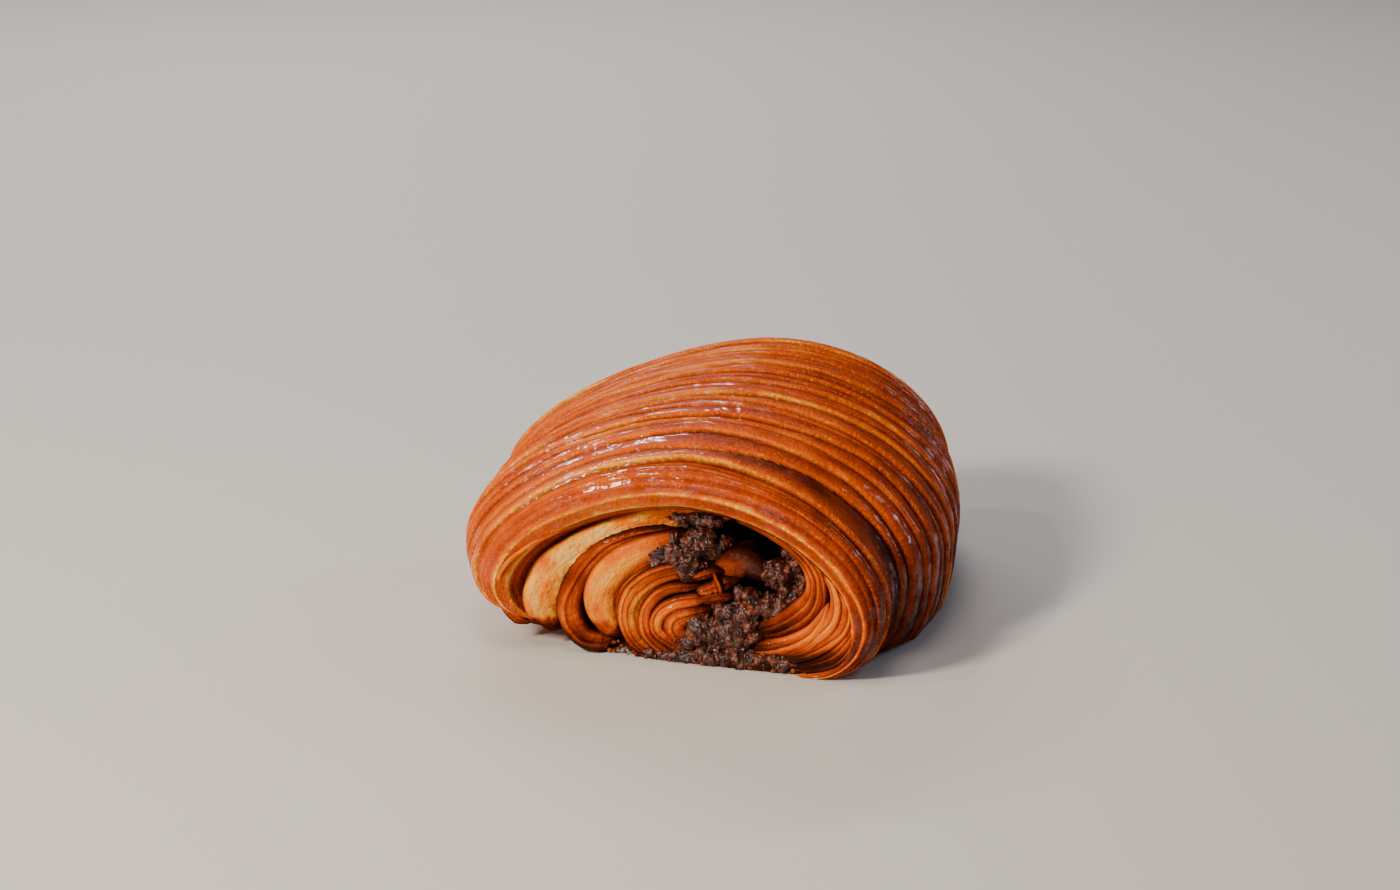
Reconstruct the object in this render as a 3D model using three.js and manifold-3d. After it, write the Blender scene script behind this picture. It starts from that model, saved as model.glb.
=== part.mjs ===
// Pain au chocolat: a laminated dough sheet rolled round two chocolate batons and baked as one piece.
// Millimetres, +Z up. The roll's axis runs along Y, the coil shown first faces -Y, +X is to its right,
// and the loaf rests on its seam side at z = 0. The hoops fan out: close together on the -X side,
// wide apart on the +X side.
import * as THREE from 'three';
import { mergeVertices } from 'three/addons/utils/BufferGeometryUtils.js';
import Module from 'manifold-3d';

// Driving dimensions of the baked roll
const rollLength = 83;
const stations = [0, 0.1, 0.25, 0.6, 1];
const leftHalfWidth = [42.3, 43.5, 49, 48.5, 48];
const rightHalfWidth = [41.5, 39.8, 45, 45, 37];
const height = [40, 40, 44.7, 46.2, 44];
const leftWaist = [0.39, 0.38, 0.4, 0.42, 0.47];
const rightWaist = [0.34, 0.35, 0.37, 0.38, 0.41];
const leftFoot = [0.1, 0.14, 0.2, 0.3, 0.4];
const rightFoot = [0.68, 0.76, 0.86, 0.9, 0.8];
const leftRoundness = 1.14;
const rightRoundness = 1.07;
const fan = 0.43;
const widthForFan = 45;
const frontBow = -2.4;
const backBow = -7.8;
const backDrift = -6;

// Hoops on the crust
const hoopCount = 11;
const hoopRelief = 0.9;

// Rolled rim and recessed coil at each end
const rimInsetX = 0.12;
const rimInsetZ = 0.185;
const rimBulge = 2.4;
const coilRecess = 3.2;
const moatDepthShare = 0.45;
const coilTurns = 2;
const coilRelief = 0.7;
const frontCoilCentre = { x: -3.4, z: 7.5 };
const backCoilCentre = { x: -2, z: 14 };

// Chocolate batons: rounded bars along Y, each in a channel open at both ends
const batonGap = 0.3;
const batonFrontRecess = 1.2;
const batonBackRecess = 4;
const channelOverrun = 20;
const upperBaton = { x: 2, z: 22.5, width: 15, height: 6.5, corner: 2 };
const lowerBaton = { x: 11, z: 9, width: 16, height: 7.5, corner: 2.2 };

// Mesh density
const columnsAround = 52;
const rimRows = 3;
const coilRows = 9;
const rowsPerHoop = 3;
const footShare = 0.18;

const crustMaterial = new THREE.MeshStandardMaterial({ color: '#b5601c', roughness: 0.42, metalness: 0 });
const chocolateMaterial = new THREE.MeshStandardMaterial({ color: '#2c130b', roughness: 0.5, metalness: 0 });

/** Smooth cubic through values given at the stations, read at t between 0 and 1. */
function between(values, t) {
  const last = stations.length - 1;
  let i = 0;
  while (i < last - 1 && t > stations[i + 1]) {
    i += 1;
  }
  const secant = (k) => (values[k + 1] - values[k]) / (stations[k + 1] - stations[k]);
  const tangent = (k) => {
    if (k === 0) return secant(0);
    if (k === last) return secant(last - 1);
    return (secant(k - 1) + secant(k)) / 2;
  };
  const step = stations[i + 1] - stations[i];
  const f = (t - stations[i]) / step;
  const rise = f * f * (3 - 2 * f);
  const startPull = f * (1 - f) * (1 - f) * step * tangent(i);
  const endPull = f * f * (f - 1) * step * tangent(i + 1);
  return values[i] + (values[i + 1] - values[i]) * rise + startPull + endPull;
}

/** Cross-section outline at t: quarter 0 is the right foot, 1 the right side, 2 the top, 3 the left. */
function outline(t, quarter) {
  const top = between(height, t);
  const right = between(rightHalfWidth, t);
  const left = between(leftHalfWidth, t);
  const rightSide = top * between(rightWaist, t);
  const leftSide = top * between(leftWaist, t);
  const rightToe = right * between(rightFoot, t);
  const leftToe = left * between(leftFoot, t);
  const angle = (quarter - 1) * Math.PI / 2;
  const out = Math.abs(Math.cos(angle));
  const up = Math.abs(Math.sin(angle));
  if (quarter < 1) return { x: rightToe + (right - rightToe) * out, z: rightSide * (1 - up) };
  if (quarter < 2) {
    return { x: right * out ** rightRoundness, z: rightSide + (top - rightSide) * up ** rightRoundness };
  }
  if (quarter < 3) {
    return { x: -left * out ** leftRoundness, z: leftSide + (top - leftSide) * up ** leftRoundness };
  }
  return { x: -leftToe - (left - leftToe) * out, z: leftSide * (1 - up) };
}

/** A point of the closed ring at t; the last share of the ring is the flat foot from left to right. */
function ringPoint(t, share) {
  const crustShare = 1 - footShare;
  const hoops = 1 + hoopRelief / widthForFan * Math.cos(2 * Math.PI * hoopCount * t);
  if (share <= crustShare) {
    const point = outline(t, 4 * share / crustShare);
    return { x: point.x * hoops, z: point.z * hoops };
  }
  const across = (share - crustShare) / footShare;
  const leftToe = outline(t, 4);
  const rightToe = outline(t, 0);
  return { x: THREE.MathUtils.lerp(leftToe.x, rightToe.x, across) * hoops, z: 0 };
}

/** Fans, bows and drifts a ring point into its place along the roll. */
function placed(point, t, push) {
  const bow = (point.x / widthForFan) ** 2;
  const y = rollLength * t + frontBow * bow * (1 - t) + (fan * point.x + backBow * bow) * t;
  return new THREE.Vector3(point.x + backDrift * t * t, y + push, point.z);
}

/** A ring rolled in over the rim: roll 0 is the crust's edge, 1 the inner lip. */
function rolledIn(point, roll) {
  const inward = 1 - Math.cos(roll * Math.PI / 2);
  return { x: point.x * (1 - rimInsetX * inward), z: point.z * (1 - rimInsetZ * inward) };
}

/** A point of an end face, depth 0 at the lip and 1 at the coil's centre; outwards is -1 or +1 along Y. */
function endFacePoint(t, share, depth, centre, outwards) {
  const lip = rolledIn(ringPoint(t, share), 1);
  const x = THREE.MathUtils.lerp(lip.x, centre.x, depth);
  const z = THREE.MathUtils.lerp(lip.z, centre.z, depth);
  const moat = coilRecess * Math.sin(Math.PI * Math.min(1, depth / moatDepthShare)) ** 2;
  const turn = coilRelief * Math.sin(2 * Math.PI * (coilTurns * depth + share)) * Math.sin(Math.PI * depth);
  return placed({ x, z }, t, outwards * (rimBulge - moat + turn));
}

/** Every ring of the roll, front coil centre to back coil centre, as functions of the share around. */
function rollRings() {
  const rings = [];
  const shellRows = hoopCount * rowsPerHoop;
  for (let i = 0; i <= coilRows; i += 1) {
    rings.push((share) => endFacePoint(0, share, 1 - i / coilRows, frontCoilCentre, -1));
  }
  for (let i = rimRows - 1; i > 0; i -= 1) {
    const roll = i / rimRows;
    const bulge = -rimBulge * Math.sin(roll * Math.PI / 2);
    rings.push((share) => placed(rolledIn(ringPoint(0, share), roll), 0, bulge));
  }
  for (let i = 0; i <= shellRows; i += 1) {
    rings.push((share) => placed(ringPoint(i / shellRows, share), i / shellRows, 0));
  }
  for (let i = 1; i < rimRows; i += 1) {
    const roll = i / rimRows;
    const bulge = rimBulge * Math.sin(roll * Math.PI / 2);
    rings.push((share) => placed(rolledIn(ringPoint(1, share), roll), 1, bulge));
  }
  for (let i = 0; i <= coilRows; i += 1) {
    rings.push((share) => endFacePoint(1, share, i / coilRows, backCoilCentre, 1));
  }
  return rings;
}

/** The whole roll: a sphere's grid, pole to pole, laid onto the rings. */
function rollGeometry() {
  const rings = rollRings();
  const geometry = new THREE.SphereGeometry(1, columnsAround, rings.length - 1);
  const position = geometry.getAttribute('position');
  const perRow = columnsAround + 1;
  rings.forEach((ring, row) => {
    for (let column = 0; column < perRow; column += 1) {
      const point = ring((column % columnsAround) / columnsAround);
      position.setXYZ(row * perRow + column, point.x, point.y, point.z);
    }
  });
  return welded(geometry);
}

/** A rounded bar along Y between two ends, grown by margin all round. */
function barGeometry(bar, from, to, margin) {
  const halfWidth = bar.width / 2 + margin;
  const halfHeight = bar.height / 2 + margin;
  const radius = bar.corner + margin;
  const section = new THREE.Shape();
  section.absarc(halfWidth - radius, halfHeight - radius, radius, 0, Math.PI / 2);
  section.absarc(radius - halfWidth, halfHeight - radius, radius, Math.PI / 2, Math.PI);
  section.absarc(radius - halfWidth, radius - halfHeight, radius, Math.PI, 1.5 * Math.PI);
  section.absarc(halfWidth - radius, radius - halfHeight, radius, 1.5 * Math.PI, 2 * Math.PI);
  const settings = { depth: to - from, bevelEnabled: false, curveSegments: 3 };
  const geometry = new THREE.ExtrudeGeometry(section, settings);
  geometry.rotateX(Math.PI / 2);
  geometry.translate(bar.x, to, bar.z);
  return welded(geometry);
}

/** Drops everything but position and merges the vertices that coincide. */
function welded(geometry) {
  geometry.deleteAttribute('normal');
  geometry.deleteAttribute('uv');
  return mergeVertices(geometry);
}

const wasm = await Module();
wasm.setup();

function toSolid(geometry) {
  const vertProperties = new Float32Array(geometry.getAttribute('position').array);
  const triVerts = new Uint32Array(geometry.getIndex().array);
  return new wasm.Manifold(new wasm.Mesh({ numProp: 3, vertProperties, triVerts }));
}

function toGeometry(solid) {
  const mesh = solid.getMesh();
  const geometry = new THREE.BufferGeometry();
  geometry.setAttribute('position', new THREE.BufferAttribute(mesh.vertProperties, 3));
  geometry.setIndex(new THREE.BufferAttribute(mesh.triVerts, 1));
  geometry.computeVertexNormals();
  return geometry;
}

/** Where a baton ends at the back: that face is slanted by the fan, so its place depends on x. */
function backEnd(bar) {
  return rollLength + fan * (bar.x - backDrift) + rimBulge - batonBackRecess;
}

const batons = { chocolate_baton_upper: upperBaton, chocolate_baton_lower: lowerBaton };

let roll = toSolid(rollGeometry());
for (const bar of Object.values(batons)) {
  const channel = barGeometry(bar, -channelOverrun, rollLength + channelOverrun, batonGap);
  roll = roll.subtract(toSolid(channel));
}

const painAuChocolat = new THREE.Group();
const pastry = new THREE.Mesh(toGeometry(roll), crustMaterial);
pastry.name = 'pastry';
painAuChocolat.add(pastry);

for (const [name, bar] of Object.entries(batons)) {
  const geometry = barGeometry(bar, batonFrontRecess - rimBulge, backEnd(bar), 0);
  geometry.computeVertexNormals();
  const baton = new THREE.Mesh(geometry, chocolateMaterial);
  baton.name = name;
  painAuChocolat.add(baton);
}

// Origin at the middle of the base: centre the roll's box in X and Y, and stand it on z = 0.
const box = new THREE.Box3().setFromObject(pastry);
const centre = box.getCenter(new THREE.Vector3());
painAuChocolat.position.set(-centre.x, -centre.y, -box.min.z);

export default painAuChocolat;
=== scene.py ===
# Pain au chocolat, dressed over its CAD frame.
# Lengths are millimetres in the roll's own axes until newMesh turns them to metres in the frame.
import bpy
import bmesh
import math
import numpy as np
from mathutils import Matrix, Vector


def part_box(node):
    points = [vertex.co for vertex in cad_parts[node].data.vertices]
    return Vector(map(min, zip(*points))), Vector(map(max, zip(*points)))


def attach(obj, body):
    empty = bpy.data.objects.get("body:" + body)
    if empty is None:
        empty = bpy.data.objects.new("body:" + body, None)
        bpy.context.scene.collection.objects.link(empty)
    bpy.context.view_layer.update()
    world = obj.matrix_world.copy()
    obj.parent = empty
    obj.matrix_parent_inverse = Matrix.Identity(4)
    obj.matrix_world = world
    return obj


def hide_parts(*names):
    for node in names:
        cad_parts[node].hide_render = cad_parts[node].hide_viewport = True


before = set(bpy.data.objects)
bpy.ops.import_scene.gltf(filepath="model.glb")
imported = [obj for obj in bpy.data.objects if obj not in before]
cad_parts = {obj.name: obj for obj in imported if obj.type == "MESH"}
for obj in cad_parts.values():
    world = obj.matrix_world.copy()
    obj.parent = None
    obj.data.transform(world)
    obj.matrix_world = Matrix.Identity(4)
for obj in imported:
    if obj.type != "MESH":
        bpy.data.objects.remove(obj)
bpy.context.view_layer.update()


def hexColour(code):
    # sRGB hex to the linear colour that shaders take
    parts = [int(code[i:i + 2], 16) / 255 for i in (1, 3, 5)]
    linear = [p / 12.92 if p <= 0.04045 else ((p + 0.055) / 1.055) ** 2.4 for p in parts]
    return (*linear, 1.0)


def smoothStep(low, high, x):
    f = np.clip((x - low) / (high - low), 0, 1)
    return f * f * (3 - 2 * f)


def latticeValue(i, j, k, seed):
    # a repeatable random value between -1 and 1 for each whole-number corner
    n = (i * 374761393 + j * 668265263 + k * 1274126177 + seed * 974634777) & 0xFFFFFFFF
    n = ((n ^ (n >> 13)) * 1103515245) & 0xFFFFFFFF
    n = ((n ^ (n >> 15)) * 668265263) & 0xFFFFFFFF
    return ((n ^ (n >> 16)) & 0xFFFF) / 32767.5 - 1


def softNoise(x, y, z=0.0, seed=1):
    # smooth value noise between -1 and 1, one lattice cell per unit
    x, y, z = np.broadcast_arrays(np.asarray(x, float), np.asarray(y, float), np.asarray(z, float))
    i, j, k = (np.floor(v).astype(np.int64) for v in (x, y, z))
    u, v, w = (smoothStep(0, 1, a - b) for a, b in ((x, i), (y, j), (z, k)))
    total = np.zeros(x.shape)
    for di in (0, 1):
        for dj in (0, 1):
            for dk in (0, 1):
                weight = (u if di else 1 - u) * (v if dj else 1 - v) * (w if dk else 1 - w)
                total += weight * latticeValue(i + di, j + dj, k + dk, seed)
    return total


def layeredNoise(x, y, z=0.0, seed=1, octaves=3):
    total, weight, span = 0, 1, 0
    for octave in range(octaves):
        scale = 2 ** octave
        total = total + weight * softNoise(x * scale, y * scale, z * scale, seed + 17 * octave)
        span += weight
        weight *= 0.5
    return total / span


def throughPoints(points, count):
    # smooth curve through given rows of values, evenly spread along its first two columns
    points = np.array(points, float)
    last = len(points) - 1
    steps = np.linspace(0, last, 40 * last + 1)
    i = np.minimum(steps.astype(int), last - 1)
    f = (steps - i)[:, None]
    before, here = points[np.maximum(i - 1, 0)], points[i]
    after, beyond = points[i + 1], points[np.minimum(i + 2, last)]
    curve = 0.5 * (2 * here + (after - before) * f + (2 * before - 5 * here + 4 * after - beyond) * f ** 2
                   + (3 * here - before - 3 * after + beyond) * f ** 3)
    run = np.concatenate([[0], np.cumsum(np.linalg.norm(np.diff(curve[:, :2], axis=0), axis=1))])
    even = np.linspace(0, run[-1], count)
    return np.stack([np.interp(even, run, curve[:, c]) for c in range(curve.shape[1])], 1), even


def gridFaces(rows, columns):
    # quads between neighbouring rows; the last column joins the first
    r, c = np.meshgrid(np.arange(rows - 1), np.arange(columns), indexing="ij")
    d = (c + 1) % columns
    corners = (r * columns + c, (r + 1) * columns + c, (r + 1) * columns + d, r * columns + d)
    return np.stack(corners, -1).reshape(-1, 4)


def newMesh(name, points, faces, bake=None, uv=None, material=None):
    # points in roll millimetres; bake is four numbers a point, kept as the colour attribute "bake"
    mesh = bpy.data.meshes.new(name)
    placed = (np.asarray(points) + rollShift) * 0.001
    mesh.from_pydata(placed.tolist(), [], [list(map(int, f)) for f in faces])
    mesh.update()
    mesh.polygons.foreach_set("use_smooth", [True] * len(mesh.polygons))
    if bake is not None:
        layer = mesh.color_attributes.new("bake", "FLOAT_COLOR", "POINT")
        layer.data.foreach_set("color", np.clip(bake, 0, 1).astype(np.float32).ravel())
    if uv is not None:
        layer = mesh.uv_layers.new(name="grain")
        loops = np.zeros(len(mesh.loops), int)
        mesh.loops.foreach_get("vertex_index", loops)
        layer.data.foreach_set("uv", np.asarray(uv)[loops].astype(np.float32).ravel())
    piece = bpy.data.objects.new(name, mesh)
    bpy.context.scene.collection.objects.link(piece)
    if material:
        mesh.materials.append(material)
    return piece


def outwards(piece):
    # merged doubles and faces turned outwards
    work = bmesh.new()
    work.from_mesh(piece.data)
    bmesh.ops.remove_doubles(work, verts=work.verts, dist=1e-7)
    bmesh.ops.recalc_face_normals(work, faces=work.faces)
    if work.calc_volume(signed=True) < 0:
        bmesh.ops.reverse_faces(work, faces=work.faces)
    work.to_mesh(piece.data)
    work.free()
    return piece


def gridNormals(points):
    # outward normals of a grid whose last column meets its first
    down = np.gradient(points, axis=0)
    across = (np.roll(points, -1, axis=1) - np.roll(points, 1, axis=1)) / 2
    normal = np.cross(down, across)
    return normal / np.maximum(np.linalg.norm(normal, axis=2, keepdims=True), 1e-9)


# the roll's form, in millimetres; the lists hold one value for each station along it
roll = {
    "length": 83,
    "stations": [0, 0.1, 0.25, 0.6, 1],
    "leftHalfWidth": [42.3, 45.4, 48.9, 48.6, 48],
    "rightHalfWidth": [41.5, 39.8, 45, 45, 37],
    "height": [40, 40.9, 44, 46.2, 44],
    "leftWaist": [0.39, 0.38, 0.4, 0.42, 0.47],
    "rightWaist": [0.34, 0.35, 0.37, 0.38, 0.41],
    "leftFoot": [0.1, 0.14, 0.2, 0.3, 0.4],
    "rightFoot": [0.68, 0.76, 0.86, 0.9, 0.8],
    "leftRoundness": 1.14,
    "rightRoundness": 1.07,
    "fan": 0.43,                # how much further back the right side ends, per millimetre of width
    "fanWidth": 45,
    "frontBow": -2.4,
    "backBow": -7.8,
    "backDrift": -6,
    "rimInsetX": 0.1,
    "rimInsetZ": 0.135,
    "rimBulge": 2.4,
    "rimRun": 6,                # how far the crust runs on over each rim
}


def between(name, t):
    # smooth cubic through the values given at the stations
    knots, values = np.array(roll["stations"]), np.array(roll[name], float)
    secant = np.diff(values) / np.diff(knots)
    tangent = np.concatenate([[secant[0]], (secant[:-1] + secant[1:]) / 2, [secant[-1]]])
    i = np.clip(np.searchsorted(knots, t, side="left") - 1, 0, len(knots) - 2)
    step = knots[i + 1] - knots[i]
    f = (t - knots[i]) / step
    rise = f * f * (3 - 2 * f)
    pull = f * (1 - f) ** 2 * step * tangent[i] + f * f * (f - 1) * step * tangent[i + 1]
    return values[i] + (values[i + 1] - values[i]) * rise + pull


def outline(t, quarter):
    # quarter 0 is the right foot, 1 the right side, 2 the top, 3 the left side, 4 the left foot, 5 the right
    # foot again
    top, right, left = between("height", t), between("rightHalfWidth", t), between("leftHalfWidth", t)
    shadedRight, leftSide = top * between("rightWaist", t), top * between("leftWaist", t)
    rightToe, leftToe = right * between("rightFoot", t), left * between("leftFoot", t)
    angle = (quarter - 1) * np.pi / 2
    out, up = np.abs(np.cos(angle)), np.abs(np.sin(angle))
    overRight, overLeft, underLeft = ((quarter >= q) & (quarter < q + 1) for q in (1, 2, 3))
    x = np.where(quarter < 1, rightToe + (right - rightToe) * out, 0)
    z = np.where(quarter < 1, shadedRight * (1 - up), 0)
    x = np.where(overRight, right * out ** roll["rightRoundness"], x)
    z = np.where(overRight, shadedRight + (top - shadedRight) * up ** roll["rightRoundness"], z)
    x = np.where(overLeft, -left * out ** roll["leftRoundness"], x)
    z = np.where(overLeft, leftSide + (top - leftSide) * up ** roll["leftRoundness"], z)
    x = np.where(underLeft, -leftToe - (left - leftToe) * out, x)
    z = np.where(underLeft, leftSide * (1 - up), z)
    x = np.where(quarter >= 4, -leftToe + (leftToe + rightToe) * (quarter - 4), x)
    return x, z


def alongRoll(x, z, t, push):
    # fans, bows and drifts a section point into its place along the roll
    bow = (x / roll["fanWidth"]) ** 2
    y = roll["length"] * t + roll["frontBow"] * bow * (1 - t) + (roll["fan"] * x + roll["backBow"] * bow) * t
    return np.stack(np.broadcast_arrays(x + roll["backDrift"] * t * t, y + push, z), -1)


def rolledIn(x, z, amount):
    inward = 1 - np.cos(amount * np.pi / 2)
    return x * (1 - roll["rimInsetX"] * inward), z * (1 - roll["rimInsetZ"] * inward)


def evenQuarters(count):
    # quarter values whose points lie evenly round the section at the middle of the roll
    fine = np.linspace(0, 5, 2001)
    x, z = outline(np.full_like(fine, 0.4), fine)
    run = np.concatenate([[0], np.cumsum(np.hypot(np.diff(x), np.diff(z)))])
    arc = np.arange(count) / count * run[-1]
    return np.interp(arc, run, fine), arc, run[-1]


# the roll's own axes start at the middle of its front end; this moves them onto the frame's pastry
rollShift = np.zeros(3)
checkT, checkQuarter = np.meshgrid(np.linspace(0, 1, 60), np.linspace(0, 4, 200), indexing="ij")
shellX, shellZ = outline(checkT, checkQuarter)
shell = alongRoll(shellX, shellZ, checkT, 0).reshape(-1, 3)
low, high = shell.min(0), shell.max(0)
low[1] -= roll["rimBulge"] * 0.9
high[1] += roll["rimBulge"] * 0.9
frameLow, frameHigh = (np.array(corner) * 1000 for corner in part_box("pastry"))
rollShift = (frameLow + frameHigh) / 2 - (low + high) / 2
rollShift[2] = frameLow[2]
print("roll to frame", rollShift.round(2))


def addNode(tree, kind, settings=None, links=None):
    # settings: property -> value, and "stops" for a colour ramp; links: input -> output socket or plain value
    node = tree.nodes.new(kind)
    for key, value in (settings or {}).items():
        if key == "stops":
            ramp = node.color_ramp.elements
            ramp[0].color, ramp[1].color = hexColour(value[0][1]), hexColour(value[-1][1])
            for position, code in value[1:-1]:
                ramp.new(position).color = hexColour(code)
        else:
            setattr(node, key, value)
    for key, value in (links or {}).items():
        socket = node.inputs[key]
        if isinstance(value, bpy.types.NodeSocket):
            tree.links.new(value, socket)
        else:
            socket.default_value = value
    return node


def newMaterial(name):
    material = bpy.data.materials.new(name)
    material.use_nodes = True
    tree = material.node_tree
    tree.nodes.clear()
    output = addNode(tree, "ShaderNodeOutputMaterial")
    skin = addNode(tree, "ShaderNodeBsdfPrincipled")
    tree.links.new(skin.outputs["BSDF"], output.inputs["Surface"])
    return material, tree, skin


# sizes of the finish on both kinds of dough; a baked surface's own grain is finer, but wouldn't show
finishes = {
    "blotchMm": 6,
    "patchMm": 3.2,             # patches where the brush left egg
    "poreMm": 0.7,
    "wrinkleMm": 1.3,
    "grainDepthMm": 0.55,
    "rippleMm": 1.8,            # ripples in the dried egg
    "rippleDepthMm": 0.35,
    # colour of the painted shade in creases, gaps and the throat
    "creaseShadeColour": "#3c1206",
}


# Laminated dough: it bakes from cream at the lifted edges of its layers to red-brown where it browned
# longest, over fine pores; its tone and its crease channel also carry painted shade. Brushed egg lies on it
# as a thin gloss in patches, with crisp broken glints.
def bakedDough(name, ramp, finish):
    material, tree, skin = newMaterial(name)
    position = addNode(tree, "ShaderNodeTexCoord").outputs["Object"]
    grain = addNode(tree, "ShaderNodeUVMap", {"uv_map": "grain"}).outputs["UV"]
    bake = addNode(tree, "ShaderNodeVertexColor", {"layer_name": "bake"})
    bakeParts = addNode(tree, "ShaderNodeSeparateColor", None, {0: bake.outputs["Color"]})
    done, wash, crease = bakeParts.outputs[0], bakeParts.outputs[1], bakeParts.outputs[2]
    speckle = bake.outputs["Alpha"]
    # threads lie along the layers: the grain map is in units of 100 mm, long way first
    stretched = addNode(tree, "ShaderNodeMapping", {"vector_type": "POINT"},
                        {"Vector": grain, "Scale": (6.0, 100 / finish["threadMm"], 1.0)})
    thread = addNode(tree, "ShaderNodeTexNoise", {"noise_dimensions": "2D"},
                     {"Vector": stretched.outputs[0], "Scale": 1.0, "Detail": 3.0, "Roughness": 0.6})
    blotch = addNode(tree, "ShaderNodeTexNoise", None,
                     {"Vector": position, "Scale": 1000 / finishes["blotchMm"], "Detail": 3.0,
                      "Roughness": 0.55})
    fleck = addNode(tree, "ShaderNodeTexNoise", None,
                    {"Vector": position, "Scale": 1000 / finish["fleckMm"], "Detail": 2.0, "Roughness": 0.7})
    goldFleck = addNode(tree, "ShaderNodeMapRange", {"interpolation_type": "SMOOTHSTEP"},
                        {"Value": fleck.outputs["Fac"], "From Min": 0.48, "From Max": 0.66, "To Min": 0.0,
                         "To Max": finish["fleck"]})
    # the tone sums the bake, grit, threads and blotches about their middles, and takes the gold flecks away
    gritty = addNode(tree, "ShaderNodeMath", {"operation": "MULTIPLY_ADD"},
                     {0: fleck.outputs["Fac"], 1: finish["grit"], 2: done})
    threaded = addNode(tree, "ShaderNodeMath", {"operation": "MULTIPLY_ADD"},
                       {0: thread.outputs["Fac"], 1: finish["thread"], 2: gritty.outputs[0]})
    blotched = addNode(tree, "ShaderNodeMath", {"operation": "MULTIPLY_ADD"},
                       {0: blotch.outputs["Fac"], 1: 0.3, 2: threaded.outputs[0]})
    gold = addNode(tree, "ShaderNodeMath", {"operation": "MULTIPLY"}, {0: goldFleck.outputs[0], 1: speckle})
    flecked = addNode(tree, "ShaderNodeMath", {"operation": "SUBTRACT"},
                      {0: blotched.outputs[0], 1: gold.outputs[0]})
    tone = addNode(tree, "ShaderNodeMath", {"operation": "SUBTRACT", "use_clamp": True},
                   {0: flecked.outputs[0], 1: 0.15 + finish["thread"] / 2 + finish["grit"] / 2})
    colour = addNode(tree, "ShaderNodeValToRGB", {"stops": ramp}, {0: tone.outputs[0]})
    # the crease channel multiplies in the crease shade colour: painted shade
    dark = addNode(tree, "ShaderNodeMix", {"data_type": "RGBA", "blend_type": "MULTIPLY"},
                   {0: crease, "A": colour.outputs[0], "B": hexColour(finishes["creaseShadeColour"])})
    tree.links.new(dark.outputs["Result"], skin.inputs["Base Color"])
    rough = addNode(tree, "ShaderNodeMapRange", None,
                    {"Value": wash, "From Min": 0.0, "From Max": 1.0, "To Min": finish["dull"],
                     "To Max": finish["gloss"]})
    uneven = addNode(tree, "ShaderNodeMath", {"operation": "MULTIPLY_ADD"},
                     {0: fleck.outputs["Fac"], 1: 0.2, 2: rough.outputs[0]})
    tree.links.new(uneven.outputs[0], skin.inputs["Roughness"])
    patch = addNode(tree, "ShaderNodeTexNoise", None,
                    {"Vector": position, "Scale": 1000 / finishes["patchMm"], "Detail": 4.0,
                     "Roughness": 0.6})
    brushed = addNode(tree, "ShaderNodeMath", {"operation": "MULTIPLY_ADD"},
                      {0: patch.outputs["Fac"], 1: 4.8, 2: -2.0})
    egg = addNode(tree, "ShaderNodeMath", {"operation": "MULTIPLY", "use_clamp": True},
                  {0: wash, 1: brushed.outputs[0]})
    tree.links.new(egg.outputs[0], skin.inputs["Coat Weight"])
    skin.inputs["Coat Roughness"].default_value = 0.06
    skin.inputs["Coat IOR"].default_value = 1.45
    skin.inputs["IOR"].default_value = 1.44
    skin.inputs["Specular IOR Level"].default_value = 0.04
    skin.inputs["Subsurface Weight"].default_value = 0.05
    skin.inputs["Subsurface Radius"].default_value = (1.0, 0.3, 0.08)
    skin.inputs["Subsurface Scale"].default_value = 0.0014
    pore = addNode(tree, "ShaderNodeTexVoronoi", {"feature": "SMOOTH_F1"},
                   {"Vector": position, "Scale": 1000 / finishes["poreMm"], "Smoothness": 0.6,
                    "Randomness": 1.0})
    wrinkle = addNode(tree, "ShaderNodeTexNoise", None,
                      {"Vector": position, "Scale": 1000 / finishes["wrinkleMm"], "Detail": 4.0,
                       "Roughness": 0.65})
    pitted = addNode(tree, "ShaderNodeMath", {"operation": "MULTIPLY_ADD"},
                     {0: pore.outputs["Distance"], 1: -0.3, 2: wrinkle.outputs["Fac"]})
    grained = addNode(tree, "ShaderNodeMath", {"operation": "MULTIPLY_ADD"},
                      {0: thread.outputs["Fac"], 1: 0.5, 2: pitted.outputs[0]})
    bump = addNode(tree, "ShaderNodeBump", None,
                   {"Strength": 0.85, "Distance": finishes["grainDepthMm"] * 0.001,
                    "Height": grained.outputs[0]})
    tree.links.new(bump.outputs[0], skin.inputs["Normal"])
    ripple = addNode(tree, "ShaderNodeTexNoise", None,
                     {"Vector": position, "Scale": 1000 / finishes["rippleMm"], "Detail": 1.0,
                      "Roughness": 0.5})
    glaze = addNode(tree, "ShaderNodeBump", None,
                    {"Strength": 0.55, "Distance": finishes["rippleDepthMm"] * 0.001,
                     "Height": ripple.outputs["Fac"]})
    tree.links.new(glaze.outputs[0], skin.inputs["Coat Normal"])
    return material


crustRamp = [(0.0, "#fdc86e"), (0.12, "#f8a21a"), (0.3, "#ec7504"), (0.48, "#cf5004"), (0.66, "#9a3304"),
             (0.82, "#5e1e04"), (1.0, "#2c0e04")]
innerRamp = [(0.0, "#ffc468"), (0.16, "#ff9e18"), (0.34, "#ec7004"), (0.54, "#ca5004"), (0.7, "#923204"),
             (0.85, "#581c04"), (1.0, "#2c0e04")]
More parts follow.
